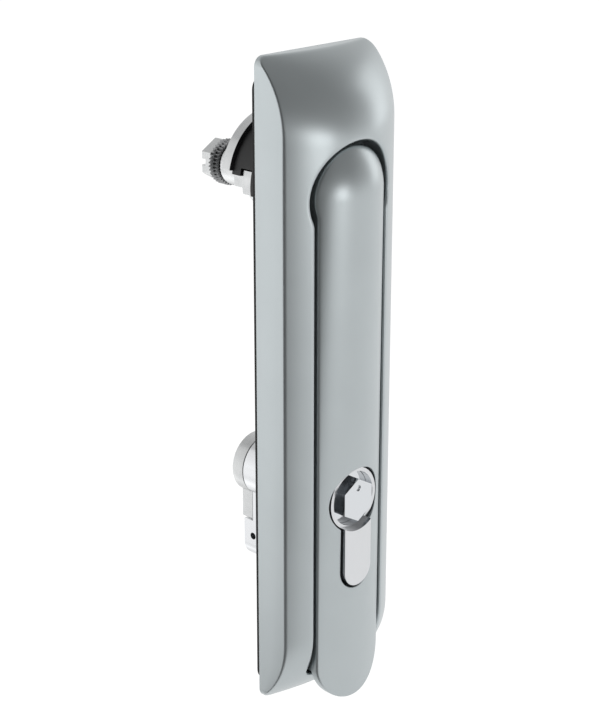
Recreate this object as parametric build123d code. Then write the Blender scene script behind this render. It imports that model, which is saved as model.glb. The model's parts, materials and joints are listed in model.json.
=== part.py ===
"""Swing handle latch: a die-cast casing with a lift-up lever, a rear drive shaft and a half profile cylinder.

Millimetres. +Z is up, the front faces -Y, and the origin is on the door face at mid-height.
The pieces are drawn from the casing's back plane (Y = 0) and moved by the gasket's thickness at the end.
"""
import os
from math import asin, cos, radians, sin, sqrt

from build123d import *

# Casing
casing_width = 40.0
casing_length = 174.0
side_wall_height = 9.8
crest_height = 16.9
end_curve_radius = 24.0
edge_curve_length = 19.0
crest_curve_length = 21.4
end_steps = 12
floor_thickness = 2.5
core_wall = 2.2
core_depth = 6.0

# Trough in the casing's front
trough_width = 25.5
pocket_step = 1.15
pocket_below_shaft = 0.9
trough_to_casing_end = 8.0
trough_corner_radius = 2.0
pocket_blend_radius = 6.0

# Gasket between casing and door
gasket_thickness = 0.8
gasket_end_margin = 4.8
gasket_corner_radius = 3.4
gasket_hole_gap = 0.4

# Main positions
shaft_to_casing_top = 34.1
lock_to_casing_bottom = 57.4
fixing_below_shaft = 30.9
fixing_to_casing_bottom = 19.0

# Fixing bosses at the back
fixing_bore_radius = 2.5
fixing_bore_depth = 7.5
fixing_boss_radius = 5.0
fixing_boss_length = 6.0

# Drive shaft and its bearing
shaft_radius = 5.5
shaft_length = 28.5
shaft_chamfer = 0.6
bearing_boss_radius = 11.0
bearing_boss_length = 11.7
bush_wall = 1.9
bush_flange_radius = 9.5
bush_flange_thickness = 0.8
fit_gap = 0.05
seal_seat_depth = 2.0
thrust_washer_thickness = 0.5
rotor_gap = 0.8
rotor_disc_thickness = 1.8

# Travel stop and stop plate behind the door
stop_flange_radius = 16.8
stop_flange_thickness = 1.0
stop_flange_angle = 186.0
stop_block_radius = 16.0
stop_block_front = 5.0
stop_step_front = 9.6
stop_block_angle = 164.0
stop_step_angle = 171.0
stop_plate_radius = 17.0
stop_plate_thickness = 3.0
stop_plate_angle = 168.0
stop_shoulder_radius = 12.3
stop_shoulder_angle = 188.0
stop_dog_radius = 15.4
stop_dog_front = 5.5
stop_dog_gap = 0.3
stop_dog_play = 1.2
stop_plate_hub_radius = 8.9
spring_washer_radius = 8.4
spring_washer_thickness = 0.8
retaining_ring_radius = 7.6
retaining_ring_thickness = 1.2
retaining_groove_depth = 0.6
retaining_ring_gap = 3.0

# Toothed washers and screw at the end of the shaft
toothed_washer_radius = 6.05
toothed_washer_thickness = 1.7
toothed_washer_count = 2
tooth_count = 36
tooth_depth = 0.75
screw_shank_radius = 3.0
screw_shank_length = 12.0
screw_hex_flats = 10.0
screw_head_height = 4.0
screw_slot_width = 1.6
screw_slot_depth = 1.8
screw_head_chamfer = 0.5

# Handle
handle_side_gap = 0.9
handle_head_gap = 1.5
handle_edge_height = 13.7
handle_head_crest = 18.4
handle_tip_crest = 16.2
handle_wall = 2.4
handle_back = 5.2
handle_end_overhang = 0.95
handle_end_web = 2.2
handle_to_trough_end = 0.7
tongue_thickness = 2.0
cap_back = 11.2

# Pivot of the handle
pivot_above_head = 4.0
pivot_depth = 9.5
pin_radius = 2.0
lug_width = 10.0
lug_radius = 3.3
lug_side_gap = 0.4
pivot_boss_radius = 4.2
pin_end_inset = 0.6

# Half profile cylinder
cylinder_radius = 8.5
lobe_width = 10.0
profile_height = 33.0
lobe_face = 17.2
rim_recess = 1.85
plug_bore_radius = 7.45
plug_head_length = 4.0
plug_radius = 6.0
cylinder_rear = 17.4
lobe_rear = 20.8
lobe_tail_drop = 3.2
cylinder_gap = 0.15
fixing_hole_radius = 1.0
fixing_hole_below_lock = 20.2
fixing_hole_depth = 17.4

# Plug, hexagonal post and cam
hex_flats = 10.4
hex_face = 17.15
hex_height = 4.0
mark_radius = 0.85
mark_depth = 0.4
mark_above_lock = 3.4
cam_gap = 0.2
cam_thickness = 4.1
cam_radius = 15.9
cam_width = 9.6
cam_ring_radius = 8.5
tang_flats = 8.0
clip_radius = 5.4
clip_thickness = 1.0
clip_groove_depth = 0.8
plug_seal_section = 0.6

# Cylinder saddle and screw at the casing's back
saddle_wall = 2.6
saddle_length = 8.0
saddle_below_lock = 14.0
cylinder_screw_radius = 2.5
cylinder_screw_engage = 1.8

# Hook of the handle that the cam holds
hook_inset = 0.5
hook_thickness = 2.2
hook_stem_above_lock = 5.6
hook_stem_height = 7.4
hook_foot_below_lock = 5.0
hook_foot_thickness = 2.6
hook_foot_gap = 0.5
hook_window_gap = 0.7
hook_window_drop = 8.0

# Lock cut-out in the handle
cutout_gap = 0.5
cutout_foot_gap = 0.8

# Rubber bumper in the trough
bumper_width = 12.0
bumper_gap = 0.3

# Sizes and places worked out from the sizes above
pocket_radius = trough_width / 2 + pocket_step
rotor_radius = pocket_radius - pocket_below_shaft - rotor_gap
handle_width = trough_width - 2 * handle_side_gap
handle_head_radius = pocket_radius - handle_head_gap
hook_outer = handle_width / 2 - hook_inset
half_length = casing_length / 2
shaft_z = half_length - shaft_to_casing_top
lock_z = lock_to_casing_bottom - half_length
pocket_z = shaft_z - pocket_below_shaft
pivot_z = pocket_z + pivot_above_head
trough_end_z = trough_to_casing_end - half_length
handle_end_z = -half_length - handle_end_overhang
body_end_z = trough_end_z + handle_to_trough_end
lobe_end_z = lock_z + cylinder_radius - profile_height
beyond = casing_length


def prism(sketch, front, rear):
    """An X-Z sketch carried along Y from the front station to the rear one."""
    return extrude(Plane.XZ.offset(-rear) * sketch, amount=rear - front)


def rod(radius, front, rear, z):
    """A round bar along Y at height z."""
    return prism(Pos(0, z) * Circle(radius), front, rear)


def tube(outer, inner, front, rear, z):
    """A round sleeve along Y at height z."""
    return prism(Pos(0, z) * (Circle(outer) - Circle(inner)), front, rear)


def block(x_low, x_high, front, rear, z_low, z_high):
    """A rectangular block between its low and high faces."""
    sketch = Pos((x_low + x_high) / 2, (z_low + z_high) / 2) * Rectangle(x_high - x_low, z_high - z_low)
    return prism(sketch, front, rear)


def cross_rod(radius, x_low, x_high, y, z):
    """A round bar along X through the point (y, z)."""
    return Pos((x_low + x_high) / 2, y, z) * Rot(0, 90, 0) * Cylinder(radius, x_high - x_low)


def sector(radius, low, high):
    """A pie slice about the shaft, from the low angle to the high one, counted from +X towards +Z."""
    middle = radians((low + high) / 2)
    tip = (radius * cos(middle), radius * sin(middle))
    ends = [(radius * cos(radians(a)), radius * sin(radians(a))) for a in (low, high)]
    outline = Line((0, 0), ends[0]) + ThreePointArc(ends[0], tip, ends[1]) + Line(ends[1], (0, 0))
    return make_face(outline.edges())


def profile(gap, foot_gap):
    """The keyhole section of the half profile cylinder, widened by a gap all round and a gap at its foot."""
    lobe_radius = lobe_width / 2 + gap
    foot_z = lobe_end_z - foot_gap + lobe_radius
    lobe = Pos(0, (lock_z + foot_z) / 2) * Rectangle(2 * lobe_radius, lock_z - foot_z)
    return Pos(0, lock_z) * Circle(cylinder_radius + gap) + lobe + Pos(0, foot_z) * Circle(lobe_radius)


def end_drop(z, curve_length):
    """How far an end curve has fallen back at height z: a circular arc over the last stretch of the casing."""
    run = max(0.0, abs(z) - (half_length - curve_length))
    return end_curve_radius - sqrt(end_curve_radius**2 - run**2)


def casing_section(z):
    """The casing's section at height z: straight side walls under a circular arch."""
    half = casing_width / 2
    wall = side_wall_height - end_drop(z, edge_curve_length)
    crest = crest_height - end_drop(z, crest_curve_length)
    sides = Polyline((half, -wall), (half, 0), (-half, 0), (-half, -wall))
    arch = ThreePointArc((-half, -wall), (0, -crest), (half, -wall))
    return Plane.XY.offset(z) * make_face((sides + arch).edges())


def trough_outline():
    """The trough seen from the front: a slot that opens into a round pocket over the shaft."""
    length = pocket_z - trough_end_z
    slot = Pos(0, (pocket_z + trough_end_z) / 2) * Rectangle(trough_width, length)
    slot = fillet(slot.vertices().sort_by(Axis.Y)[:2], trough_corner_radius)
    outline = slot + Pos(0, pocket_z) * Circle(pocket_radius)
    neck_z = pocket_z - sqrt(pocket_radius**2 - (trough_width / 2) ** 2)
    neck = outline.vertices().filter_by_position(Axis.Y, neck_z - fit_gap, neck_z + fit_gap)
    return fillet(neck, pocket_blend_radius)


def hook_window():
    """The gap in the floor that the handle's hook swings out through."""
    low = lock_z - hook_foot_below_lock - hook_window_drop
    high = lock_z + hook_stem_above_lock + hook_stem_height + hook_window_gap
    inner = hook_outer - hook_thickness - hook_window_gap
    return block(inner, hook_outer + hook_window_gap, -handle_back, gasket_thickness, low, high)


def fixing_places():
    """The heights of the two rear fixing bosses."""
    return [shaft_z - fixing_below_shaft, fixing_to_casing_bottom - half_length]


def make_casing():
    """Zinc die casting: arched front, trough, cored back, bearing boss, cylinder saddle and fixing bosses."""
    start = half_length - crest_curve_length
    turn = asin(crest_curve_length / end_curve_radius)
    places = [start + end_curve_radius * sin(turn * i / end_steps) for i in range(end_steps + 1)]
    cap = loft([casing_section(z) for z in places], ruled=True)
    middle = extrude(casing_section(-start), amount=2 * start, dir=(0, 0, 1))
    casing = middle + cap + mirror(cap, about=Plane.XY)
    casing -= prism(trough_outline(), -beyond, -floor_thickness)

    core_inner = trough_width / 2 + core_wall
    core_outer = casing_width / 2 - core_wall
    for side in (-1, 1):
        low, high = sorted((side * core_inner, side * core_outer))
        casing -= block(low, high, -core_depth, 0, trough_end_z, pocket_z - pocket_radius)

    casing += rod(bearing_boss_radius, -floor_thickness, bearing_boss_length, shaft_z)
    for z in fixing_places():
        casing += rod(fixing_boss_radius, -floor_thickness, fixing_boss_length, z)
        casing -= rod(fixing_bore_radius, fixing_boss_length - fixing_bore_depth, fixing_boss_length, z)

    saddle_half = lobe_width / 2 + saddle_wall
    saddle_top = lock_z - saddle_below_lock
    saddle_low = lobe_end_z + lobe_width / 2
    casing += block(-saddle_half, saddle_half, -floor_thickness, saddle_length, saddle_low, saddle_top)
    casing += rod(saddle_half, -floor_thickness, saddle_length, saddle_low)
    casing -= prism(profile(cylinder_gap, cylinder_gap), -beyond, saddle_length)
    casing -= cylinder_screw_bar(cylinder_screw_radius + fit_gap, lobe_end_z - 2 * saddle_wall)

    bearing_bore = shaft_radius + bush_wall + fit_gap
    casing -= rod(bearing_bore, -floor_thickness, bearing_boss_length, shaft_z)
    return casing - hook_window()


def make_gasket():
    """Flat rubber sheet under the casing, cut out for the bosses, the cylinder and the hook."""
    length = casing_length - 2 * gasket_end_margin
    sheet = prism(RectangleRounded(casing_width, length, gasket_corner_radius), 0, gasket_thickness)
    sheet -= rod(bearing_boss_radius + gasket_hole_gap, 0, gasket_thickness, shaft_z)
    for z in fixing_places():
        sheet -= rod(fixing_boss_radius + gasket_hole_gap, 0, gasket_thickness, z)
    saddle = saddle_wall + gasket_hole_gap
    sheet -= prism(profile(saddle, saddle), 0, gasket_thickness)
    return sheet - hook_window()


def make_rotor():
    """Turned and cast carrier: a disc in the pocket, a lug for the pivot pin and the drive shaft behind."""
    disc_rear = -floor_thickness - thrust_washer_thickness
    disc_front = disc_rear - rotor_disc_thickness
    shaft = rod(shaft_radius, disc_rear, shaft_length, shaft_z)
    shaft = chamfer(shaft.edges().sort_by(Axis.Y)[-1:], shaft_chamfer)
    rotor = shaft + rod(rotor_radius, disc_front, disc_rear, shaft_z)
    lug_half = lug_width / 2
    lug_low = pivot_z - lug_radius
    rotor += block(-lug_half, lug_half, -pivot_depth, disc_rear, lug_low, pivot_z + lug_radius)
    rotor += cross_rod(lug_radius, -lug_half, lug_half, -pivot_depth, pivot_z)
    rotor -= cross_rod(pin_radius, -lug_half, lug_half, -pivot_depth, pivot_z)
    groove_front = retaining_front()
    groove_rear = groove_front + retaining_ring_thickness
    groove_floor = shaft_radius - retaining_groove_depth
    rotor -= tube(shaft_radius + fit_gap, groove_floor, groove_front, groove_rear, shaft_z)
    screw_bore = screw_shank_radius + fit_gap
    return rotor - rod(screw_bore, shaft_length - screw_shank_length - fit_gap, shaft_length, shaft_z)


def make_pivot_pin():
    """Hardened dowel pressed through the rotor's lug."""
    reach = sqrt(handle_head_radius**2 - pivot_above_head**2) - pin_end_inset
    return cross_rod(pin_radius, -reach, reach, -pivot_depth, pivot_z)


def make_thrust_washer():
    """Thin bearing washer under the rotor's disc."""
    front = -floor_thickness - thrust_washer_thickness
    return tube(rotor_radius, shaft_radius + fit_gap, front, -floor_thickness, shaft_z)


def make_shaft_seal():
    """O-ring round the shaft, in front of the bush."""
    section = bush_wall / 2 - fit_gap
    ring = Torus(shaft_radius + bush_wall / 2 + fit_gap / 2, section)
    return Pos(0, -floor_thickness + seal_seat_depth / 2, shaft_z) * Rot(90, 0, 0) * ring


def stop_rear():
    """Rear face of the travel stop, which also covers the end of the bush."""
    return bearing_boss_length + bush_flange_thickness + fit_gap


def make_bearing_bush():
    """Flanged plastic bush that carries the shaft in the casing's boss."""
    inner = shaft_radius + fit_gap
    sleeve = tube(shaft_radius + bush_wall, inner, seal_seat_depth - floor_thickness, bearing_boss_length, shaft_z)
    flange_rear = bearing_boss_length + bush_flange_thickness
    return sleeve + tube(bush_flange_radius, inner, bearing_boss_length, flange_rear, shaft_z)


def make_travel_stop():
    """Black moulded stop over the upper side of the bearing boss: a thin flange and a stepped block on it."""
    boss = Circle(bearing_boss_radius + fit_gap)
    flange_slice = sector(stop_flange_radius, 180 - stop_flange_angle, stop_flange_angle) - boss
    block_slice = sector(stop_block_radius, 180 - stop_block_angle, stop_block_angle) - boss
    step_slice = sector(stop_block_radius, 180 - stop_step_angle, stop_step_angle) - boss
    stop = prism(Pos(0, shaft_z) * flange_slice, stop_block_front - stop_flange_thickness, stop_block_front)
    stop += prism(Pos(0, shaft_z) * block_slice, stop_block_front, stop_rear())
    return stop + prism(Pos(0, shaft_z) * step_slice, stop_step_front, stop_rear())


def plate_rear():
    """Rear face of the stop plate."""
    return stop_rear() + stop_plate_thickness


def make_stop_plate():
    """Steel plate on the shaft: a round hub, a wide sector above it and two dogs that meet the stop's ends."""
    blank = Circle(stop_plate_hub_radius) + sector(stop_plate_radius, 180 - stop_plate_angle, stop_plate_angle)
    blank += sector(stop_shoulder_radius, 180 - stop_shoulder_angle, stop_shoulder_angle)
    plate = prism(Pos(0, shaft_z) * blank, stop_rear(), plate_rear())
    wide = (stop_dog_radius, stop_block_angle, stop_step_front - stop_dog_gap)
    narrow = (stop_shoulder_radius, stop_step_angle, stop_rear())
    for radius, edge, rear in (wide, narrow):
        start = edge + stop_dog_play
        for low, high in ((180 - stop_shoulder_angle, 180 - start), (start, stop_shoulder_angle)):
            dog = sector(radius, low, high) - Circle(bearing_boss_radius + stop_dog_gap)
            plate += prism(Pos(0, shaft_z) * dog, stop_dog_front, rear)
    return plate - rod(shaft_radius + fit_gap, stop_rear(), plate_rear(), shaft_z)


def make_spring_washer():
    """Spring washer that presses on the stop plate."""
    rear = plate_rear() + spring_washer_thickness
    return tube(spring_washer_radius, shaft_radius + fit_gap, plate_rear(), rear, shaft_z)


def retaining_front():
    """Front face of the retaining ring's groove."""
    return plate_rear() + spring_washer_thickness


def make_retaining_ring():
    """Open snap ring in the shaft's groove."""
    front = retaining_front()
    rear = front + retaining_ring_thickness
    inner = shaft_radius - retaining_groove_depth
    ring = tube(retaining_ring_radius, inner, front, rear, shaft_z)
    half_gap = retaining_ring_gap / 2
    return ring - block(-half_gap, half_gap, front, rear, shaft_z - retaining_ring_radius, shaft_z - shaft_radius / 2)


def make_toothed_washer(place):
    """One of the serrated lock washers under the screw's head, counted from the shaft's end."""
    step = 360 / tooth_count
    root = toothed_washer_radius - tooth_depth
    half_foot = root * sin(radians(step / 2))
    foot_x = root * cos(radians(step / 2))
    tooth = Polygon((foot_x, -half_foot), (toothed_washer_radius, 0), (foot_x, half_foot), align=None)
    blank = Circle(root) + [Rot(0, 0, step * (i + place / 2)) * tooth for i in range(tooth_count)]
    face = Pos(0, shaft_z) * (blank - Circle(screw_shank_radius + fit_gap))
    front = shaft_length + place * toothed_washer_thickness
    return prism(face, front, front + toothed_washer_thickness)


def make_shaft_screw():
    """Slotted hexagon screw in the end of the shaft."""
    seat = shaft_length + toothed_washer_count * toothed_washer_thickness
    hexagon = Pos(0, shaft_z) * RegularPolygon(screw_hex_flats / 2, 6, major_radius=False, rotation=30)
    head = prism(hexagon, seat, seat + screw_head_height)
    head = chamfer(head.faces().sort_by(Axis.Y)[-1].edges(), screw_head_chamfer)
    half_slot = screw_slot_width / 2
    slot_front = seat + screw_head_height - screw_slot_depth
    head -= block(
        -screw_hex_flats, screw_hex_flats, slot_front, seat + screw_head_height,
        shaft_z - half_slot, shaft_z + half_slot)
    return head + rod(screw_shank_radius, shaft_length - screw_shank_length, seat, shaft_z)


def handle_outline(inset):
    """The handle seen from the front: straight sides, a round head in the pocket and a round end."""
    half = handle_width / 2 - inset
    low = handle_end_z + inset + half
    sides = Pos(0, (pocket_z + low) / 2) * Rectangle(2 * half, pocket_z - low)
    return sides + Pos(0, pocket_z) * Circle(handle_head_radius - inset) + Pos(0, low) * Circle(half)


def arch_radius(crest):
    """Radius of the handle's arch through both side edges and the crest."""
    sag = crest - handle_edge_height
    return ((handle_width / 2) ** 2 + sag**2) / (2 * sag)


def arch_section(z, crest, depth):
    """The handle's section at height z: a circular arch with the given crest, set back by a depth."""
    radius = arch_radius(crest)
    half = handle_head_radius + fit_gap
    side = crest - radius + sqrt((radius - depth) ** 2 - half**2)
    arch = ThreePointArc((-half, -side), (0, depth - crest), (half, -side))
    feet = Polyline((half, -side), (half, 0), (-half, 0), (-half, -side))
    return Plane.XY.offset(z) * make_face((arch + feet).edges())


def arch_bar(depth):
    """A bar under the handle's front, set back by a depth: its crest falls towards the tip, its head is a ball."""
    tip = arch_section(handle_end_z - handle_wall, handle_tip_crest, depth)
    bar = loft([tip, arch_section(pocket_z, handle_head_crest, depth)], ruled=True)
    radius = arch_radius(handle_head_crest)
    ball = Pos(0, radius - handle_head_crest, pocket_z) * Sphere(radius - depth)
    return bar + (ball & block(-radius, radius, -beyond, 0, pocket_z, pocket_z + radius))


def make_handle():
    """Zinc die-cast lever: a channel with a domed head, a thin tongue, pivot bosses, lock cut-out and hook."""
    handle = prism(handle_outline(0), -beyond, -handle_back) & arch_bar(0)

    hollow = prism(handle_outline(handle_wall), -beyond, 0) & arch_bar(handle_wall)
    half = handle_width
    hollow &= block(-half, half, -beyond, 0, body_end_z + handle_end_web, half_length)
    under_tongue = block(-half, half, -beyond, 0, handle_end_z - half, body_end_z) & arch_bar(tongue_thickness)
    over_pivot = block(-half, half, -cap_back, 0, pivot_z, half_length)
    handle = handle - hollow - under_tongue - over_pivot

    inner = lug_width / 2 + lug_side_gap
    outer = sqrt(handle_head_radius**2 - pivot_above_head**2) - pin_end_inset
    for low, high in ((-outer, -inner), (inner, outer)):
        handle += cross_rod(pivot_boss_radius, low, high, -pivot_depth, pivot_z)
    handle -= cross_rod(pin_radius + fit_gap, -half, half, -pivot_depth, pivot_z)

    handle -= prism(profile(cutout_gap, cutout_foot_gap), -beyond, 0)
    stem_low = lock_z + hook_stem_above_lock
    hook_inner = hook_outer - hook_thickness
    foot_front = cylinder_rear + cam_gap + cam_thickness + hook_foot_gap
    foot_rear = foot_front + hook_foot_thickness
    handle += block(
        hook_inner, hook_outer, -handle_back - handle_wall, foot_rear, stem_low, stem_low + hook_stem_height)
    handle += block(
        hook_inner, hook_outer, foot_front, foot_rear, lock_z - hook_foot_below_lock, stem_low)
    return handle


def make_bumper():
    """Rubber pad on the trough's floor under the handle's end web."""
    half = bumper_width / 2
    return block(-half, half, bumper_gap - handle_back, -floor_thickness, body_end_z, body_end_z + handle_end_web)


def plug_floor():
    """The station of the plug's round face around the hexagonal post."""
    return hex_height - hex_face


def make_cylinder_body():
    """Brass body of the half profile cylinder: round barrel, and a lobe with a longer tail behind the saddle."""
    body = prism(profile(0, 0), -lobe_face, lobe_rear)
    body += prism(profile(0, lobe_tail_drop), saddle_length + fit_gap, lobe_rear)
    body -= rod(cylinder_radius, -lobe_face, rim_recess - lobe_face, lock_z)
    body -= rod(cam_radius + 2 * cam_gap, cylinder_rear, lobe_rear, lock_z)
    body -= rod(plug_bore_radius, -lobe_face, plug_floor() + plug_head_length, lock_z)
    body -= rod(plug_radius + fit_gap, -lobe_face, cylinder_rear, lock_z)
    cross_z = lock_z - fixing_hole_below_lock
    body -= cross_rod(fixing_hole_radius, -lobe_width, lobe_width, fixing_hole_depth, cross_z)
    return body - cylinder_screw_bar(cylinder_screw_radius + fit_gap, lobe_end_z - saddle_wall)


def cylinder_screw_bar(radius, low_z):
    """A round bar up along Z from a height to the cylinder screw's tip."""
    height = lobe_end_z + cylinder_screw_engage - low_z
    return Pos(0, saddle_length / 2, low_z + height / 2) * Cylinder(radius, height)


def make_cylinder_screw():
    """Set screw through the saddle that holds the cylinder by its lobe."""
    screw = cylinder_screw_bar(cylinder_screw_radius, lobe_end_z - saddle_wall)
    slot = Box(2 * cylinder_screw_radius, cylinder_screw_radius / 3, saddle_wall)
    return screw - Pos(0, saddle_length / 2, lobe_end_z - saddle_wall) * slot


def seal_groove():
    """Middle station of the plug seal on the plug's head."""
    return plug_floor() + plug_head_length / 2


def make_plug():
    """Chromed plug: hexagonal post with a dimple on a round head, a long barrel and a tang with flats."""
    cam_rear = cylinder_rear + cam_gap + cam_thickness
    hexagon = Pos(0, lock_z) * RegularPolygon(hex_flats / 2, 6, major_radius=False, rotation=30)
    plug = prism(hexagon, -hex_face, plug_floor())
    plug -= rod(mark_radius, -hex_face, mark_depth - hex_face, lock_z + mark_above_lock)
    head = rod(plug_bore_radius - fit_gap, plug_floor(), plug_floor() + plug_head_length - fit_gap, lock_z)
    groove_floor = plug_bore_radius - 2 * plug_seal_section
    groove_front = seal_groove() - plug_seal_section
    head -= tube(plug_bore_radius, groove_floor, groove_front, seal_groove() + plug_seal_section, lock_z)
    plug += head + rod(plug_radius, plug_floor() + plug_head_length - fit_gap, cylinder_rear + cam_gap, lock_z)
    tang_end = cam_rear + 2 * clip_thickness
    tang = rod(plug_radius, cylinder_rear + cam_gap, tang_end, lock_z)
    half_flats = tang_flats / 2
    tang &= block(-half_flats, half_flats, 0, tang_end, lock_z - plug_radius, lock_z + plug_radius)
    tang -= tube(plug_radius, clip_inner(), cam_rear, cam_rear + clip_thickness, lock_z)
    return plug + tang


def clip_inner():
    """Radius of the groove in the tang that takes the clip."""
    return tang_flats / 2 - clip_groove_depth


def make_plug_seal():
    """Small O-ring in the plug head's groove."""
    section = plug_seal_section - fit_gap
    ring = Torus(plug_bore_radius - plug_seal_section - fit_gap / 2, section)
    return Pos(0, seal_groove(), lock_z) * Rot(90, 0, 0) * ring


def make_cam():
    """Steel cam on the tang: a round ring with a bit that points down at rest."""
    front = cylinder_rear + cam_gap
    rear = front + cam_thickness
    half = cam_width / 2
    low = lock_z - cam_radius
    bit = Pos(0, (lock_z + low) / 2) * Rectangle(cam_width, cam_radius)
    bit &= Pos(0, lock_z) * Circle(cam_radius)
    cam = prism(bit + Pos(0, lock_z) * Circle(cam_ring_radius), front, rear)
    bore = rod(plug_radius + fit_gap, front, rear, lock_z)
    half_flats = tang_flats / 2 + fit_gap
    bore &= block(-half_flats, half_flats, front, rear, lock_z - half - plug_radius, lock_z + half + plug_radius)
    return cam - bore


def make_plug_clip():
    """Snap clip that keeps the cam on the plug's tang."""
    front = cylinder_rear + cam_gap + cam_thickness
    rear = front + clip_thickness
    clip = tube(clip_radius, clip_inner(), front, rear, lock_z)
    half_gap = clip_inner() / 2
    return clip - block(-half_gap, half_gap, front, rear, lock_z - clip_radius, lock_z)


nodes = {
    "casing": make_casing(),
    "gasket": make_gasket(),
    "rotor_shaft": make_rotor(),
    "pivot_pin": make_pivot_pin(),
    "thrust_washer": make_thrust_washer(),
    "shaft_seal": make_shaft_seal(),
    "bearing_bush": make_bearing_bush(),
    "travel_stop": make_travel_stop(),
    "stop_plate": make_stop_plate(),
    "spring_washer": make_spring_washer(),
    "retaining_ring": make_retaining_ring(),
    "toothed_washer_front": make_toothed_washer(0),
    "toothed_washer_rear": make_toothed_washer(1),
    "shaft_screw": make_shaft_screw(),
    "bumper": make_bumper(),
    "cylinder_body": make_cylinder_body(),
    "cylinder_screw": make_cylinder_screw(),
    "handle": make_handle(),
    "lock_plug": make_plug(),
    "plug_seal": make_plug_seal(),
    "lock_cam": make_cam(),
    "plug_clip": make_plug_clip(),
}

os.makedirs("parts", exist_ok=True)
for name, solid in nodes.items():
    export_step(Pos(0, -gasket_thickness, 0) * solid, f"parts/{name}.step")
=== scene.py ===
"""Swing handle latch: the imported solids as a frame, dressed with visible skins and finishes."""
import json
from math import asin, degrees, radians, sqrt

import bmesh
import bpy
import numpy as np
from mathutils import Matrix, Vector

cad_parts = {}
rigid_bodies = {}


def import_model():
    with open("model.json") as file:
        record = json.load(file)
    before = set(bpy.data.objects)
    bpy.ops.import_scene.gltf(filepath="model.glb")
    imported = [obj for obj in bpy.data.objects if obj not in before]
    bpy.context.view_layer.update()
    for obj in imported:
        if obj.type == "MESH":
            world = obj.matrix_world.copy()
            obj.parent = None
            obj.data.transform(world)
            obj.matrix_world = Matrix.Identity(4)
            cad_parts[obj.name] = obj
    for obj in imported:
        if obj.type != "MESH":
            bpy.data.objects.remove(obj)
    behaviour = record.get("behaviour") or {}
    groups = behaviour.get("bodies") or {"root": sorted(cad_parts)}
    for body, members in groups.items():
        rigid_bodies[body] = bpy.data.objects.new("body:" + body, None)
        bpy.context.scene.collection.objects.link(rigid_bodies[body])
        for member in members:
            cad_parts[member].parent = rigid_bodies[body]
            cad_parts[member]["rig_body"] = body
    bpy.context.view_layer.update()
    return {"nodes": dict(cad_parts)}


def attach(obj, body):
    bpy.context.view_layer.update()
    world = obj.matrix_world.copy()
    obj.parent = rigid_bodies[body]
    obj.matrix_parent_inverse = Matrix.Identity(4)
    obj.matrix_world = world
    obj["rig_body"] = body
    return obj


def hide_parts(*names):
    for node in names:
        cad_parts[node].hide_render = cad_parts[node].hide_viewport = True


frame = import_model()

# Casing
# A zinc die casting with an arched front, straight side walls and round-nosed ends, cut by a long
# trough for the lever. It is blasted and given a satin silver-grey coat, so every edge is softened.
# Lengths are in mm. A height counts forwards from the casing's back plane, a station backwards.
mm = 0.001
weld = 2e-6
speck = 1e-6
tiny = 1e-9
skin_angle = 40.0
mirror = np.array([-1.0, 1.0])
gasket_thickness = 0.8
half_width = 20.0
half_length = 87.0
side_height = 9.8
crest_height = 16.9
end_radius = 24.0
edge_run = 19.0
crest_run = 21.4
corner_radius = 2.6
edge_ease = 0.55
ease_share = 0.45
rim_ease = 1.2
rim_drop = 1.5
floor_height = 2.5
shaft_z = 52.9
head_z = 52.0
trough_half = 12.75
pocket_radius = 13.9
neck_radius = 6.0
trough_end = -79.0
trough_corner = 2.0
spine_low = -70.0
dense_low = -60.0
dense_high = 40.0


def end_drop(z, run_length):
    """Fall of a round-nosed end: radius minus the root of (radius squared minus run squared)."""
    run = np.maximum(0.0, np.abs(z) - (half_length - run_length))
    return end_radius - np.sqrt(end_radius**2 - run**2)


def casing_front(x, z):
    """Height of the front: a shallow parabola from edge to edge over a crest, lower at the ends."""
    edge = side_height - end_drop(z, edge_run)
    crest = crest_height - end_drop(z, crest_run)
    return crest - (crest - edge) * (x / half_width) ** 2


def arc(radius, start, end, count, centre):
    """Points on a circle in the X-Z plane from the start angle to the end angle, in degrees."""
    angle = np.radians(np.linspace(start, end, count))
    x = centre[0] + radius * np.cos(angle)
    z = centre[1] + radius * np.sin(angle)
    return np.stack([x, z], axis=1)


def line(start, end, count):
    """Evenly spaced points on a straight run, both ends included."""
    return np.linspace(start, end, count)


def joined(*runs):
    """Runs of points end to end as one closed loop, without the points that two runs share."""
    return np.concatenate([run[:-1] for run in runs])


def waisted(depth, round_radius, straight_half, fillet):
    """Half-width at a depth below the head's centre: circle, concave fillet, straight side."""
    reach = straight_half + fillet
    end = sqrt((round_radius + fillet) ** 2 - reach**2)
    start = end * round_radius / (round_radius + fillet)
    circle = np.sqrt(np.maximum(round_radius**2 - np.minimum(depth, start) ** 2, 0.0))
    blend = reach - np.sqrt(fillet**2 - np.clip(end - depth, 0.0, fillet) ** 2)
    return np.where(depth < start, circle, np.where(depth < end, blend, straight_half))


def spine_foot(points, low, high):
    """Nearest point of the middle line between two heights, and the unit direction from it."""
    foot = np.stack([np.zeros(len(points)), np.clip(points[:, 1], low, high)], axis=1)
    away = points - foot
    return foot, away / np.linalg.norm(away, axis=1, keepdims=True)


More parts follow.
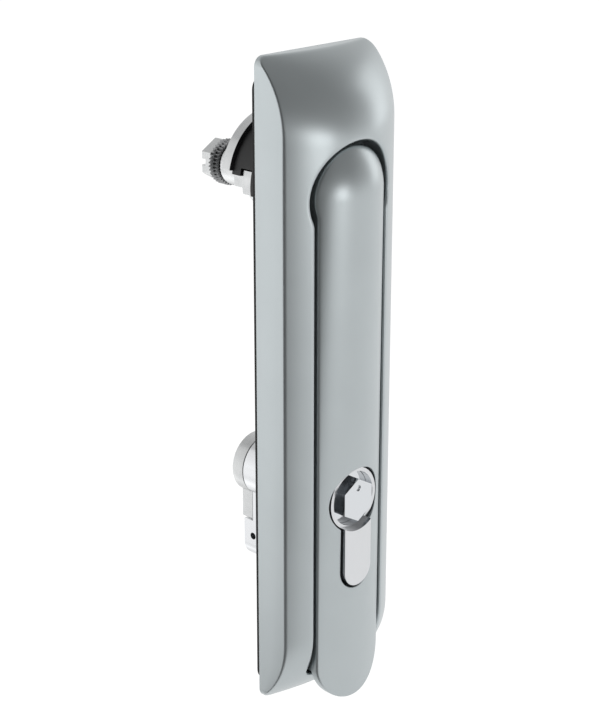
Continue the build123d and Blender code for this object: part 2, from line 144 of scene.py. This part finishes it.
def trough_edge(points):
    """Each point's foot on the middle line, the way out from it and the trough's reach that way."""
    foot, way = spine_foot(points, spine_low, head_z)
    reach = waisted(head_z - foot[:, 1], pocket_radius, trough_half, neck_radius)
    below = points[:, 1] < spine_low
    across = trough_half / np.maximum(np.abs(way[:, 0]), tiny)
    down = (spine_low - trough_end) / np.maximum(-way[:, 1], tiny)
    corner = np.array([trough_half - trough_corner, trough_end + trough_corner - spine_low])
    side_way = np.stack([np.abs(way[:, 0]), way[:, 1]], axis=1)
    along = side_way @ corner
    miss = corner @ corner - along**2
    turn = along + np.sqrt(np.maximum(trough_corner**2 - miss, 0.0))
    straight = np.minimum(across, down)
    hit = side_way * straight[:, None]
    in_corner = (hit[:, 0] > corner[0]) & (hit[:, 1] < corner[1])
    reach = np.where(below, np.where(in_corner, turn, straight), reach)
    return foot, way, reach


def eased(start, middle, end, count=7):
    """A rounded corner: the quadratic curve from start to end that leans on the sharp middle."""
    t = np.linspace(0.0, 1.0, count)[:, None, None]
    return (1 - t) ** 2 * start + 2 * t * (1 - t) * middle + t**2 * end


def lifted(points, height):
    """Plan points (x, z) at a height above the casing's back plane, as (x, y, z) in the frame."""
    y = -np.broadcast_to(height, (len(points),)) - gasket_thickness
    return np.stack([points[:, 0], y, points[:, 1]], axis=1)


def piece(name, grids, stations):
    """One closed mesh from pairs of a grid (rows, columns, 3) and whether its columns close.

    Rims that are open at one of the stations are filled flat.
    """
    verts, faces, start = [], [], 0
    for grid, closed in grids:
        rows, columns = grid.shape[:2]
        index = start + np.arange(rows * columns).reshape(rows, columns)
        after = np.roll(index, -1, axis=1) if closed else index[:, 1:]
        here = index if closed else index[:, :-1]
        faces.append(np.stack([here[:-1], after[:-1], after[1:], here[1:]], axis=-1).reshape(-1, 4))
        verts.append(grid.reshape(-1, 3))
        start += rows * columns
    mesh = bpy.data.meshes.new(name)
    mesh.from_pydata(np.concatenate(verts) * mm, [], np.concatenate(faces).tolist())
    bm = bmesh.new()
    bm.from_mesh(mesh)
    bmesh.ops.remove_doubles(bm, verts=bm.verts, dist=weld)
    bmesh.ops.dissolve_degenerate(bm, edges=bm.edges, dist=speck)
    for station in stations:
        y = (station - gasket_thickness) * mm
        rims = [e for e in bm.edges if e.is_boundary]
        edges = [e for e in rims if all(abs(v.co.y - y) < weld for v in e.verts)]
        bmesh.ops.triangle_fill(bm, use_beauty=True, edges=edges)
    bmesh.ops.recalc_face_normals(bm, faces=bm.faces)
    bm.to_mesh(mesh)
    bm.free()
    mesh.shade_smooth()
    mesh.set_sharp_from_angle(angle=radians(skin_angle))
    made = bpy.data.objects.new(name, mesh)
    bpy.context.scene.collection.objects.link(made)
    return made


inset = half_width - corner_radius
nose = half_length - corner_radius
rising = np.concatenate([
    np.linspace(-nose, dense_low, 34), np.linspace(dense_low, dense_high, 34)[1:],
    np.linspace(dense_high, nose, 74)[1:]])
right_side = np.stack([np.full(len(rising), half_width), rising], axis=1)
outline = joined(
    right_side,
    arc(corner_radius, 0, 90, 9, (inset, nose)),
    line((inset, half_length), (-inset, half_length), 45),
    arc(corner_radius, 90, 180, 9, (-inset, nose)),
    right_side[::-1] * mirror,
    arc(corner_radius, 180, 270, 9, (-inset, -nose)),
    line((-inset, -half_length), (inset, -half_length), 45),
    arc(corner_radius, 270, 360, 9, (inset, -nose)),
)
foot, way, reach = trough_edge(outline)
trough = foot + way * reach[:, None]
rim = foot + way * (reach + rim_ease)[:, None]
brink = casing_front(*outline.T)
ease = np.minimum(edge_ease, ease_share * brink)
shoulder = outline - way * ease[:, None]
share = np.linspace(0.0, 1.0, 26)[1:-1, None, None]
field = shoulder + (rim - shoulder) * share
crown = casing_front(*trough.T)
skin = np.concatenate([
    lifted(outline, 0.0)[None],
    lifted(outline, (brink - ease) / 2)[None],
    eased(
        lifted(outline, brink - ease), lifted(outline, brink),
        lifted(shoulder, casing_front(*shoulder.T))),
    np.stack([lifted(row, casing_front(*row.T)) for row in field]),
    eased(
        lifted(rim, casing_front(*rim.T)), lifted(trough, crown),
        lifted(trough, crown - rim_drop), 9),
    lifted(trough, (crown - rim_drop + floor_height) / 2)[None],
    lifted(trough, floor_height)[None],
])

lock_z = -29.6
lock_gap = 0.15
barrel_radius = 8.5
lobe_half = 5.0
cylinder_height = 33.0
lobe_end = lock_z + barrel_radius - cylinder_height
lobe_z = lobe_end + lobe_half
bearing_radius = 11.0
bearing_bore = 7.45
bearing_rear = 11.7
boss_bury = 0.3
boss_ease = 0.5
saddle_half = 7.6
saddle_slot = lobe_half + lock_gap
saddle_top = lock_z - 14.0
saddle_rear = 8.0
saddle_ease = 0.35
fixing_heights = (22.0, -68.0)
fixing_radius = 5.0
fixing_rear = 6.0
screw_radius = 2.5
screw_depth = 1.5
hook_outer = 11.35
hook_inner = 9.15
window_gap = 0.7
window_low = lock_z - 13.0
window_high = lock_z + 13.7
window_corner = 0.8


def keyhole(gap):
    """The half cylinder's section plus a gap as a loop: round head, narrower round-footed lobe."""
    head = barrel_radius + gap
    half = lobe_half + gap
    foot_z = lobe_end - gap + half
    meet = degrees(asin(half / head))
    neck_z = lock_z - sqrt(head**2 - half**2)
    return joined(
        arc(head, meet - 90, 270 - meet, 49, (0, lock_z)),
        line((-half, neck_z), (-half, foot_z), 17),
        arc(half, 180, 360, 25, (0, foot_z)),
        line((half, foot_z), (half, neck_z), 17),
    )


def oblong(x_low, x_high, z_low, z_high, radius):
    """A rectangle with rounded corners as a loop of points."""
    return joined(
        arc(radius, 0, 90, 5, (x_high - radius, z_high - radius)),
        line((x_high - radius, z_high), (x_low + radius, z_high), 3),
        arc(radius, 90, 180, 5, (x_low + radius, z_high - radius)),
        line((x_low, z_high - radius), (x_low, z_low + radius), 3),
        arc(radius, 180, 270, 5, (x_low + radius, z_low + radius)),
        line((x_low + radius, z_low), (x_high - radius, z_low), 3),
        arc(radius, 270, 360, 5, (x_high - radius, z_low + radius)),
        line((x_high, z_low + radius), (x_high, z_high - radius), 3),
    )


def wall(loop, *heights):
    """A loop of plan points carried straight through the given heights."""
    return np.stack([lifted(loop, height) for height in heights]), True


def ring(radius, z, count=64):
    """A closed circle of plan points about a point on the middle line."""
    return arc(radius, 0, 360, count + 1, (0, z))[:-1]


def swollen(loop, amount):
    """A loop moved outwards along its own normals."""
    along = np.roll(loop, -1, axis=0) - np.roll(loop, 1, axis=0)
    normal = np.stack([along[:, 1], -along[:, 0]], axis=1)
    return loop + normal / np.linalg.norm(normal, axis=1, keepdims=True) * amount


def stub(loop, front, rear, ease):
    """A boss behind the casing: walls of a loop from station to station, the rear edge rounded."""
    corner = eased(
        lifted(loop, -rear + ease), lifted(loop, -rear), lifted(swollen(loop, -ease), -rear), 5)
    return np.concatenate([lifted(loop, -front)[None], corner]), True


hook_window = oblong(
    hook_inner - window_gap, hook_outer + window_gap, window_low, window_high, window_corner)
shaft_bore = ring(bearing_bore, shaft_z)
lock_hole = keyhole(lock_gap)
saddle = joined(
    line((saddle_half, lobe_z), (saddle_half, saddle_top), 9),
    line((saddle_half, saddle_top), (saddle_slot, saddle_top), 4),
    line((saddle_slot, saddle_top), (saddle_slot, lobe_z), 9),
    arc(saddle_slot, 0, -180, 25, (0, lobe_z)),
    line((-saddle_slot, lobe_z), (-saddle_slot, saddle_top), 9),
    line((-saddle_slot, saddle_top), (-saddle_half, saddle_top), 4),
    line((-saddle_half, saddle_top), (-saddle_half, lobe_z), 9),
    arc(saddle_half, 180, 360, 33, (0, lobe_z)),
)
grids = [
    (skin, True),
    wall(shaft_bore, floor_height, 0.0),
    wall(hook_window, floor_height, 0.0),
    wall(lock_hole, floor_height, 0.0),
    stub(ring(bearing_radius, shaft_z), -boss_bury, bearing_rear, boss_ease),
    wall(shaft_bore, boss_bury, -bearing_rear),
    stub(saddle, -boss_bury, saddle_rear, saddle_ease),
]
for z in fixing_heights:
    grids += [
        stub(ring(fixing_radius, z, 40), -boss_bury, fixing_rear, boss_ease),
        wall(ring(screw_radius, z, 32), screw_depth, -fixing_rear),
    ]
stations = [-floor_height, 0.0, bearing_rear, saddle_rear, fixing_rear, -boss_bury, -screw_depth]
casing = piece("casing_skin", grids, stations)
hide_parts("casing")
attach(casing, "housing")


def linear(code):
    """An sRGB hex colour as linear red, green, blue and alpha."""
    value = np.array([int(code[i:i + 2], 16) for i in (1, 3, 5)]) / 255
    value = np.where(value <= 0.04045, value / 12.92, ((value + 0.055) / 1.055) ** 2.4)
    return (*value, 1.0)


def add(tree, kind, inputs=(), **settings):
    """A new node with its settings; each input is a value or the socket that it is linked from."""
    made = tree.nodes.new(kind)
    for key, value in settings.items():
        setattr(made, key, value)
    for key, value in dict(inputs).items():
        if isinstance(value, bpy.types.NodeSocket):
            tree.links.new(value, made.inputs[key])
        else:
            made.inputs[key].default_value = value
    return made


def blank_material(name):
    """An empty node material, its tree and its object-space coordinates."""
    material = bpy.data.materials.new(name)
    material.use_nodes = True
    material.node_tree.nodes.clear()
    place = add(material.node_tree, "ShaderNodeTexCoord").outputs["Object"]
    return material, material.node_tree, place


def closed_material(tree, surface):
    """Joins the finished shader to the material's output."""
    add(tree, "ShaderNodeOutputMaterial", {"Surface": surface.outputs[0]})


def noise(tree, place, size, detail, roughness=0.5):
    """A noise value from 0 to 1 with features of a size in mm."""
    return add(tree, "ShaderNodeTexNoise", {
        "Vector": place, "Scale": 1 / (size * mm), "Detail": detail, "Roughness": roughness,
    }).outputs["Fac"]


def tinted(tree, factor, first, second):
    """A colour between two hex colours."""
    return add(tree, "ShaderNodeMix", {
        "Factor": factor, "A": linear(first), "B": linear(second),
    }, data_type="RGBA").outputs["Result"]


def ranged(tree, value, low, high):
    """A value from 0 to 1 spread between two limits."""
    return add(tree, "ShaderNodeMapRange", {
        "Value": value, "To Min": low, "To Max": high,
    }).outputs["Result"]


def bumped(tree, height, strength, depth):
    """The normal of a bump with a depth in mm."""
    return add(tree, "ShaderNodeBump", {
        "Height": height, "Strength": strength, "Distance": depth * mm,
    }).outputs["Normal"]


# Satin metallic lacquer on blasted zinc: fine blasting grain of about 0.35 mm under the coat, a
# soft cloud of 14 mm in colour and gloss from spraying, wide soft reflections.
satin_coat, tree, place = blank_material("satin silver coat on blasted zinc")
grain = noise(tree, place, 0.35, 2.0, 0.6)
cloud = noise(tree, place, 14, 3.0)
surface = add(tree, "ShaderNodeBsdfPrincipled", {
    "Base Color": tinted(tree, cloud, "#B7BEC0", "#C1C8CA"), "Metallic": 0.8,
    "Roughness": ranged(tree, cloud, 0.31, 0.36), "Normal": bumped(tree, grain, 0.12, 0.02)})
closed_material(tree, surface)
casing.data.materials.append(satin_coat)

# Handle
# The lever is a second zinc casting: a long arched channel that ends in a ball-shaped head over the
# pivot and in a thin tongue for the fingers. A keyhole is cut for the lock, and a hook reaches
# behind the door.
handle_half = 11.85
head_radius = 12.4
head_fillet = 6.0
head_crest = 18.4
head_flat = 0.9
head_dense = 38.0
tip_crest = 16.2
lever_edge = 13.7
lever_end = -87.95
lever_wall = 2.4
lever_back = 5.2
lever_ease = 0.5
cap_back = 11.2
tongue_wall = 2.0
tip_z = lever_end + handle_half
web_depth = 0.2
web_z = tip_z + web_depth
web_share = 0.2
pivot_z = 56.0
cutout_ease = 0.3
cutout_gap = 0.5
cutout_foot_gap = 0.8
cutout_head = barrel_radius + cutout_gap
cutout_half = lobe_half + cutout_gap
cutout_foot = lobe_end - cutout_foot_gap + cutout_half
cutout_neck = lock_z - sqrt(cutout_head**2 - cutout_half**2)
above_lock = lock_z + 14.0
below_lock = cutout_foot - 11.0
hollow_half = handle_half - lever_wall
hollow_share = hollow_half / handle_half
cap_share = (pivot_z - head_z) / head_radius

cheek = np.linspace(hollow_share, 1.0, 6)
hollow_columns = np.linspace(-hollow_share, hollow_share, 31)
across = np.concatenate([-cheek[::-1], hollow_columns, cheek])
hollow = np.abs(np.arange(len(across)) - len(across) // 2) <= len(hollow_columns) // 2
head_rows = np.concatenate([
    np.linspace(above_lock, head_dense, 22), np.linspace(head_dense, head_z, 30)[1:]])
socket_fan = np.linspace(0.0, cap_share, 6)[1:]
dome_fan = np.linspace(cap_share, hollow_share, 9)
head_fan = np.concatenate([socket_fan, dome_fan, cheek])
channel_rows = np.linspace(below_lock, web_z, 8)
tip_rows = np.concatenate([channel_rows, [web_z, tip_z]])
web_fan = np.linspace(0.0, web_share, 5)[1:]
tip_fan = np.concatenate([web_fan, np.linspace(web_share, 1.0, 20)])
side_rows = np.concatenate([
    np.linspace(above_lock, lock_z, 14), np.linspace(lock_z, cutout_neck, 10)[1:],
    np.linspace(cutout_neck, cutout_foot, 16)[1:], np.linspace(cutout_foot, below_lock, 12)[1:]])


def lever_front(points, inset=0.0):
    """Height of the front: arches whose crest falls to the tip, a flattened ball at the head."""
    x, z = points[..., 0], points[..., 1]
    fall = np.clip((head_z - z) / (head_z - lever_end + lever_wall), 0.0, 1.0)
    crest = head_crest + (tip_crest - head_crest) * fall
    sag = crest - lever_edge
    radius = (handle_half**2 + sag**2) / (2 * sag)
    over = head_flat * np.maximum(z - head_z, 0.0)
    return crest - radius + np.sqrt((radius - inset) ** 2 - x**2 - over**2)


def strip_plan(rows, half):
    """Straight rows across the lever at given heights, each from minus to plus its half-width."""
    x = across * np.broadcast_to(half, rows.shape)[:, None]
    return np.stack([x, np.broadcast_to(rows[:, None], x.shape)], axis=-1)


def fan_plan(radius, centre, fan, way):
    """Half a square bent into half a disc: x = r u root(1 - v v / 2), z = r v root(1 - u u / 2)."""
    v = fan[:, None]
    x = radius * across * np.sqrt(1 - v**2 / 2)
    return np.stack([x, centre + way * radius * v * np.sqrt(1 - across**2 / 2)], axis=-1)


def lever_plan(trim):
    """The lever's head, tip and one side by the lock from the front, drawn in by a trim."""
    head_half = waisted(head_z - head_rows, head_radius, handle_half, head_fillet) - trim
    head = np.concatenate([
        strip_plan(head_rows, head_half), fan_plan(head_radius - trim, head_z, head_fan, 1)])
    tip = np.concatenate([
        strip_plan(tip_rows, handle_half - trim), fan_plan(handle_half - trim, tip_z, tip_fan, -1)])
    side = np.stack([np.full(len(side_rows), handle_half - trim), side_rows], axis=1)
    return head, tip, side


def raised(plan, height):
    """A grid of plan points at its heights, as points in the frame."""
    shape = plan.shape[:2]
    height = np.broadcast_to(height, shape).reshape(-1)
    return lifted(plan.reshape(-1, 2), height).reshape(*shape, 3)


def lever_rim(head, tip, right, left):
    """The lever's border as one loop: up the right side, over the head, down and round the tip."""
    return joined(
        tip[::-1, -1], right[::-1], head[:, -1], head[-1, ::-1], head[::-1, 0],
        left, tip[:, 0], tip[-1])


def lock_frame(head, tip, side):
    """The loop round the lock's field, along the head, both sides and the tip."""
    return joined(head[0, ::-1], side * mirror, tip[0], side[::-1])


def cutout_edge(points, swell):
    """Where the line from each point to the lock's middle line meets the keyhole plus a swell."""
    foot, way = spine_foot(points, cutout_foot, lock_z)
    depth = lock_z - foot[:, 1]
    reach = np.maximum(cutout_half, np.sqrt(np.maximum(cutout_head**2 - depth**2, 0.0)))
    return foot + way * (reach + swell)[:, None]


head, tip, side = lever_plan(lever_ease)
frame_loop = lock_frame(head, tip, side)
cut_wide = cutout_edge(frame_loop, cutout_ease)
share = np.linspace(0.0, 1.0, 16)[:, None, None]
lock_field = frame_loop + (cut_wide - frame_loop) * share
head_top, tip_top, side_top = [raised(g, lever_front(g)) for g in (head, tip, side[:, None])]
left_top = raised((side * mirror)[:, None], lever_front(side)[:, None])
rim_top = lever_rim(head_top, tip_top, side_top[:, 0], left_top[:, 0])

head, tip, side = lever_plan(0.0)
rim_plan = lever_rim(head, tip, side, side * mirror)
rim_height = lever_front(rim_plan)
head_row, tip_row = np.arange(len(head))[:, None], np.arange(len(tip))[:, None]
capped = head_row >= len(head_rows) + len(socket_fan)
crowned = head_row >= len(head_rows) + len(socket_fan) + len(dome_fan)
head_back = np.where(
    hollow & ~crowned, lever_front(head, lever_wall), np.where(capped, cap_back, lever_back))
webbed = tip_row >= len(channel_rows)
tongued = tip_row >= len(tip_rows) + len(web_fan)
tip_back = np.where(hollow & ~webbed, lever_front(tip, lever_wall), lever_back)
tip_back = np.where(tongued, lever_front(tip, tongue_wall), tip_back)
head_under, tip_under = raised(head, head_back), raised(tip, tip_back)
side_under, left_under = lifted(side, lever_back), lifted(side * mirror, lever_back)
rim_under = lever_rim(head_under, tip_under, side_under, left_under)

under_loop = lock_frame(head, tip, side)
side_wall = np.ones(len(side_rows), bool)
solid_wall = joined(~hollow, side_wall, ~hollow, side_wall)
cut = cutout_edge(frame_loop, 0.0)
past = np.clip(np.abs(under_loop[:, 0]) - hollow_half, 0.0, None)
past = past / np.maximum(np.abs(under_loop[:, 0]) - np.abs(cut[:, 0]), speck)
step = under_loop + (cut - under_loop) * np.clip(past, 0.0, 1.0)[:, None]
roof = step + (cut - step) * np.linspace(0, 1, 6)[:, None, None]
lock_under = np.stack([
    *[lifted(loop, np.where(solid_wall, lever_back, lever_front(loop, lever_wall)))
      for loop in (under_loop, step)],
    *[lifted(row, lever_front(row, lever_wall)) for row in roof]])
cut_height = lever_front(cut)
cut_wall = np.concatenate([
    eased(
        lifted(cut_wide, lever_front(cut_wide)), lifted(cut, cut_height),
        lifted(cut, cut_height - cutout_ease), 5),
    lifted(cut, lever_front(cut, lever_wall))[None]])
lever_side = np.concatenate([
    eased(rim_top, lifted(rim_plan, rim_height), lifted(rim_plan, rim_height - lever_ease)),
    rim_under[None]])

stem_low = lock_z + 5.6
stem_high = stem_low + 7.4
stem_front = -7.6
claw_low = lock_z - 5.0
claw_high = stem_low + 2.0
hook_front = 22.2
hook_rear = 24.8
hook_corner = 0.5
hook_ease = 0.3
stem = oblong(hook_inner, hook_outer, stem_low, stem_high, hook_corner)
claw = oblong(hook_inner, hook_outer, claw_low, claw_high, hook_corner)
grids = [
    (head_top, False),
    (tip_top, False),
    (raised(lock_field, lever_front(lock_field)), True),
    (head_under, False),
    (tip_under, False),
    (lock_under, True),
    (cut_wall, True),
    (lever_side, True),
    stub(stem, stem_front, hook_rear, hook_ease),
    stub(claw, hook_front, hook_rear, hook_ease),
]
handle = piece("handle_skin", grids, [stem_front, hook_front, hook_rear])
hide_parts("handle")
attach(handle, "handle")
handle.data.materials.append(satin_coat)

# Gasket
# A thin black sheet of foamed rubber between casing and door, punched out for the bosses and the
# cylinder. The bumper under the lever and the two O-rings are of the same black rubber.
flat_angle = 1.0
edge_angle = 30.0
shade_angle = 60.0


def softened(node, width):
    """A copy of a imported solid, flat areas joined, every sharp edge rounded to a width in mm."""
    source = frame["nodes"][node].data
    points = np.empty(3 * len(source.vertices), np.float32)
    source.vertices.foreach_get("co", points)
    corners = np.empty(len(source.loops), np.int32)
    source.loops.foreach_get("vertex_index", corners)
    mesh = bpy.data.meshes.new(node + "_eased")
    mesh.from_pydata(points.reshape(-1, 3), [], corners.reshape(-1, 3).tolist())
    bm = bmesh.new()
    bm.from_mesh(mesh)
    bmesh.ops.remove_doubles(bm, verts=bm.verts, dist=speck)
    bmesh.ops.dissolve_limit(bm, angle_limit=radians(flat_angle), verts=bm.verts, edges=bm.edges)
    edges = [e for e in bm.edges if e.is_manifold and e.calc_face_angle(0.0) > radians(edge_angle)]
    bmesh.ops.bevel(
        bm, geom=edges, offset=width * mm, offset_type="OFFSET", segments=2, profile=0.5,
        affect="EDGES", clamp_overlap=True)
    bmesh.ops.recalc_face_normals(bm, faces=bm.faces)
    bm.to_mesh(mesh)
    bm.free()
    mesh.shade_smooth()
    mesh.set_sharp_from_angle(angle=radians(shade_angle))
    made = bpy.data.objects.new(node + "_eased", mesh)
    bpy.context.scene.collection.objects.link(made)
    even = made.modifiers.new("even normals", "WEIGHTED_NORMAL")
    even.keep_sharp = True
    even.weight = 100
    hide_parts(node)
    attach(made, frame["nodes"][node]["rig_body"])
    return made


def dressed(material, slot, width, *nodes):
    """Softened copies of several nodes in one finish."""
    for node in nodes:
        made = softened(node, width)
        made.data.materials.append(material)


# Black rubber: matte, with the fine pitted skin of about 0.5 mm that foamed and moulded rubber has.
black_rubber, tree, place = blank_material("black moulded rubber")
pits = noise(tree, place, 0.5, 3.0)
surface = add(tree, "ShaderNodeBsdfPrincipled", {
    "Base Color": tinted(tree, pits, "#0C0D0E", "#1B1C1D"), "Roughness": 0.72, "IOR": 1.52,
    "Normal": bumped(tree, pits, 0.35, 0.05)})
closed_material(tree, surface)
dressed(black_rubber, "gasket_rubber", 0.06, "gasket")
dressed(black_rubber, "bumper_rubber", 0.3, "bumper")
dressed(black_rubber, "seal_rubber", 0.05, "shaft_seal", "plug_seal")

# Bearing and travel stop
# The shaft turns in a natural acetal bush with a thrust washer, and a black moulded stop sits round
# the boss.
acetal, tree, place = blank_material("natural acetal")
haze = noise(tree, place, 3, 2.0)
surface = add(tree, "ShaderNodeBsdfPrincipled", {
    "Base Color": tinted(tree, haze, "#DCD9CF", "#E8E5DC"), "Roughness": 0.38, "IOR": 1.48,
    "Subsurface Weight": 0.1, "Subsurface Scale": 0.5 * mm})
closed_material(tree, surface)
dressed(acetal, "bush_plastic", 0.15, "bearing_bush", "thrust_washer")

# Glass-filled nylon: black, moulded against a spark-eroded tool, so it has a fine even grain of
# about 0.4 mm.
nylon, tree, place = blank_material("black glass-filled nylon")
texture = add(tree, "ShaderNodeTexVoronoi", {"Vector": place, "Scale": 1 / (0.4 * mm)})
sheen = noise(tree, place, 6, 2.0)
surface = add(tree, "ShaderNodeBsdfPrincipled", {
    "Base Color": tinted(tree, sheen, "#0B0C0E", "#16181B"), "IOR": 1.53,
    "Roughness": ranged(tree, sheen, 0.42, 0.55),
    "Normal": bumped(tree, texture.outputs["Distance"], 0.2, 0.04)})
closed_material(tree, surface)
dressed(nylon, "black_plastic", 0.25, "travel_stop")

# Shaft, plate and screws
# Turned and stamped steel, zinc plated and clear passivated: bright, with fine turning lines and a
# faint haze.
zinc_steel, tree, place = blank_material("bright zinc-plated steel")
spangle = noise(tree, place, 2.5, 4.0, 0.6)
stretch = add(tree, "ShaderNodeMapping", {"Vector": place, "Scale": (1.0, 6.0, 1.0)})
lines = noise(tree, stretch.outputs[0], 1.2, 3.0)
surface = add(tree, "ShaderNodeBsdfPrincipled", {
    "Base Color": tinted(tree, spangle, "#ABADAE", "#CDCECE"), "Metallic": 1.0,
    "Roughness": ranged(tree, spangle, 0.2, 0.36), "Normal": bumped(tree, lines, 0.15, 0.03)})
closed_material(tree, surface)
dressed(
    zinc_steel, "zinc_steel", 0.2,
    "stop_plate", "spring_washer", "shaft_screw", "pivot_pin", "lock_cam")
dressed(zinc_steel, "zinc_steel", 0.3, "rotor_shaft")

# Phosphated spring steel of the snap rings and toothed washers: dark grey, dry, slightly mottled.
dark_steel, tree, place = blank_material("phosphated spring steel")
mottle = noise(tree, place, 1.5, 4.0)
surface = add(tree, "ShaderNodeBsdfPrincipled", {
    "Base Color": tinted(tree, mottle, "#7C7D7E", "#999A9B"), "Metallic": 1.0, "Roughness": 0.42})
closed_material(tree, surface)
dressed(dark_steel, "dark_steel", 0.08, "toothed_washer_front", "toothed_washer_rear")
dressed(dark_steel, "dark_steel", 0.12, "retaining_ring", "cylinder_screw", "plug_clip")

# Half cylinder and plug
# A brass profile cylinder, brushed upright and nickel plated, its lobe flush in the lever's
# keyhole. The plug is chromed and carries a polished hexagonal post with a small round mark.
nickel, tree, place = blank_material("nickel-plated brass")
drawn = add(tree, "ShaderNodeMapping", {"Vector": place, "Scale": (1.0, 1.0, 0.06)})
drag = noise(tree, drawn.outputs[0], 0.25, 3.0)
surface = add(tree, "ShaderNodeBsdfPrincipled", {
    "Base Color": tinted(tree, drag, "#CACCCE", "#D5D6D8"), "Metallic": 1.0,
    "Roughness": ranged(tree, drag, 0.14, 0.24)})
closed_material(tree, surface)
dressed(nickel, "lock_nickel", 0.1, "cylinder_body")

chrome, tree, place = blank_material("polished chrome plate")
breath = noise(tree, place, 1.8, 3.0)
surface = add(tree, "ShaderNodeBsdfPrincipled", {
    "Base Color": linear("#D0D3D6"), "Metallic": 1.0,
    "Roughness": ranged(tree, breath, 0.06, 0.12)})
closed_material(tree, surface)
dressed(chrome, "lock_chrome", 0.08, "lock_plug")

# Camera, light and floor
# A plain studio: a long lens at the photograph's angle, a soft panel on each side, a small board in
# front and a pale floor well below. Lights and floor are in metres.
camera_data = bpy.data.cameras.new("camera")
camera_data.lens = 87.84
camera_data.sensor_width = 36.0
camera = bpy.data.objects.new("camera", camera_data)
camera.location = Vector((-311.254, -299.957, 160.836)) * mm
target = Vector((-4.28, -0.8, 6.136)) * mm
camera.rotation_euler = (target - camera.location).to_track_quat("-Z", "Y").to_euler()
bpy.context.scene.collection.objects.link(camera)
bpy.context.scene.camera = camera
bpy.context.scene.view_settings.view_transform = "Standard"


def maths(tree, operation, first, second):
    """The result of one operation on two values."""
    return add(tree, "ShaderNodeMath", {0: first, 1: second}, operation=operation).outputs[0]


def showing(tree):
    """1 on rays that show a background (seen, mirrored or let through), then 1 on seen ones."""
    ray = add(tree, "ShaderNodeLightPath").outputs
    mirrored = maths(tree, "MAXIMUM", ray["Is Glossy Ray"], ray["Is Transmission Ray"])
    return maths(tree, "MAXIMUM", ray["Is Camera Ray"], mirrored), ray["Is Camera Ray"]


def facing(tree, way, axis, start, end, low, high):
    """A level from low to high as the dot product of a way and an axis runs from start to end."""
    toward = add(tree, "ShaderNodeVectorMath", {0: way, 1: axis}, operation="DOT_PRODUCT")
    return add(tree, "ShaderNodeMapRange", {
        "Value": toward.outputs["Value"], "From Min": start, "From Max": end,
        "To Min": low, "To Max": high,
    }).outputs["Result"]


# The white backdrop goes round the object and dims in front, overhead and high on the left, where
# the studio is dark. Seen directly, it is white everywhere.
world = bpy.data.worlds.new("studio")
world.use_nodes = True
world.node_tree.nodes.clear()
tree = world.node_tree
shown, direct = showing(tree)
sky_way = add(tree, "ShaderNodeTexCoord").outputs["Generated"]
overhead = facing(tree, sky_way, (-0.2, -0.6, 0.77), -0.15, 0.7, 1.0, 0.34)
upper_left = facing(tree, sky_way, (-0.75, -0.3, 0.59), 0.45, 0.85, 1.0, 0.1)
clear = maths(tree, "MAXIMUM", maths(tree, "MINIMUM", overhead, upper_left), direct)
level = maths(tree, "MULTIPLY", ranged(tree, shown, 0.55, 1.0), clear)
sky = add(tree, "ShaderNodeBackground", {"Color": linear("#FFFFFF"), "Strength": level})
add(tree, "ShaderNodeOutputWorld", {"Surface": sky.outputs[0]})
bpy.context.scene.world = world


def panel(name, position, aim, width, height, power):
    """A soft rectangular lamp that faces a point; sizes in metres, power in watts."""
    data = bpy.data.lights.new(name, "AREA")
    data.shape = "RECTANGLE"
    data.size = width
    data.size_y = height
    data.energy = power
    made = bpy.data.objects.new(name, data)
    made.location = position
    made.rotation_euler = (Vector(aim) - Vector(position)).to_track_quat("-Z", "Y").to_euler()
    bpy.context.scene.collection.objects.link(made)


panel("left panel", (-0.6, 0.65, 0.3), (0, 0, 0), 0.5, 0.8, 0.5)
panel("right panel", (0.85, -0.2, 0.25), (0, 0, 0), 0.35, 0.6, 0.6)
panel("front board", (-0.01, -0.5, 0.015), (0, 0, 0.04), 0.17, 0.1, 0.15)

# The floor also glows where it is seen or mirrored, as painted light and shade for the metal to
# mirror:
# fully in front and on the right, hardly on the left, and most of all behind on the left.
floor_z = -0.24
floor_half = 6.0
seen_glow = 0.9
floor_mesh = bpy.data.meshes.new("floor")
floor_mesh.from_pydata(
    [(x * floor_half, y * floor_half, floor_z) for x, y in ((-1, -1), (1, -1), (1, 1), (-1, 1))],
    [], [(0, 1, 2, 3)])
floor = bpy.data.objects.new("floor", floor_mesh)
bpy.context.scene.collection.objects.link(floor)
pale, tree, place = blank_material("pale floor paint and painted glow")
shown, direct = showing(tree)
paint = add(tree, "ShaderNodeBsdfDiffuse", {"Color": linear("#BEBEBE")})
floor_way = add(tree, "ShaderNodeVectorMath", {0: place}, operation="NORMALIZE").outputs["Vector"]
# Painted shade on the floor's left and painted light behind on the left, which the metal reflects.
left = facing(tree, floor_way, (-1.0, 0.0, 0.0), 0.25, 0.49, 0.92, 0.02)
behind = facing(tree, floor_way, (-0.45, 0.89, 0.0), 0.5, 0.85, 0.0, 1.2)
clear = maths(
    tree, "MAXIMUM", maths(tree, "ADD", left, behind), maths(tree, "MULTIPLY", direct, seen_glow))
level = maths(tree, "MULTIPLY", shown, clear)
painted_glow = add(tree, "ShaderNodeEmission", {"Color": linear("#FFFFFF"), "Strength": level})
both = add(tree, "ShaderNodeAddShader", {0: paint.outputs[0], 1: painted_glow.outputs[0]})
closed_material(tree, both)
floor_mesh.materials.append(pale)
